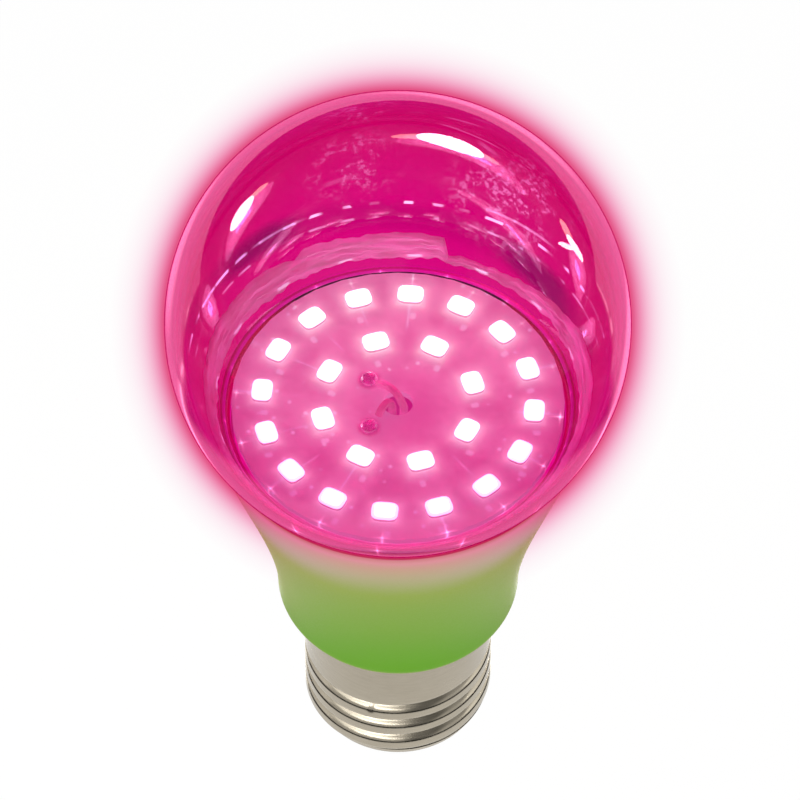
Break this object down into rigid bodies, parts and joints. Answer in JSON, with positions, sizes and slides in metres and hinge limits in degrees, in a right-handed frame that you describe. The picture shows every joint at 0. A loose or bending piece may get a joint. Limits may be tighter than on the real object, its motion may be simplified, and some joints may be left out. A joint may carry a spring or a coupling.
{
  "type": "led bulb",
  "caption": "Screw-cap LED grow bulb: clear pink globe over a lit round LED board, flared green neck, nickel cap.",
  "frame": {"origin": "centre of the flat end face of the centre contact, the bulb's lowest point when it stands cap down", "axes": "+Z along the bulb's axis from the cap to the globe; -Y faces the camera of the reference picture"},
  "size_m": [0.06, 0.06, 0.1165],
  "materials": {
    "pink_globe": "clear, dyed pink plastic",
    "green_housing": "satin moulded plastic",
    "nickel_shell": "nickel plated, rolled thread",
    "aluminium_cup": "drawn, bare",
    "white_board": "white solder mask on aluminium",
    "led_package": "lit phosphor in a white package",
    "silicone": "soft cured silicone",
    "black_insulator": "moulded",
    "brass_contact": "plated rivet",
    "solder": "bright solder",
    "wire_red": "insulated wire",
    "wire_black": "insulated wire",
    "driver_board": "paper laminate board",
    "capacitor_sleeve": "shrunk sleeve",
    "film_capacitor": "dipped resin",
    "ferrite": "sintered ferrite",
    "copper": "enamelled copper wire",
    "chip_black": "moulded epoxy",
    "fuse_coating": "flameproof coating"
  },
  "bodies": {
    "root": {"globe": "pink_globe", "housing": "green_housing", "screw_shell": "nickel_shell", "cap_insulator": "black_insulator", "centre_contact": "brass_contact", "heat_sink_cup": "aluminium_cup", "led_board": "white_board", "adhesive_ring": "silicone", "board_lead_positive": "wire_red", "board_lead_negative": "wire_black", "solder_joint_positive": "solder", "solder_joint_negative": "solder", "neutral_wire": "wire_black", "fuse_resistor": "fuse_coating", "driver_board": "driver_board", "input_capacitor": "capacitor_sleeve", "output_capacitor": "capacitor_sleeve", "film_capacitor": "film_capacitor", "inductor_core": "ferrite", "inductor_coil": "copper", "bridge_rectifier": "chip_black", "driver_chip": "chip_black", "freewheel_diode": "chip_black", "sense_resistor": "chip_black", "bleed_resistor": "chip_black", "led_01": "led_package", "led_02": "led_package", "led_03": "led_package", "led_04": "led_package", "led_05": "led_package", "led_06": "led_package", "led_07": "led_package", "led_08": "led_package", "led_09": "led_package", "led_10": "led_package", "led_11": "led_package", "led_12": "led_package", "led_13": "led_package", "led_14": "led_package", "led_15": "led_package", "led_16": "led_package", "led_17": "led_package", "led_18": "led_package", "led_19": "led_package", "led_20": "led_package", "led_21": "led_package", "led_22": "led_package", "led_23": "led_package", "led_24": "led_package"}
  },
  "joints": []
}
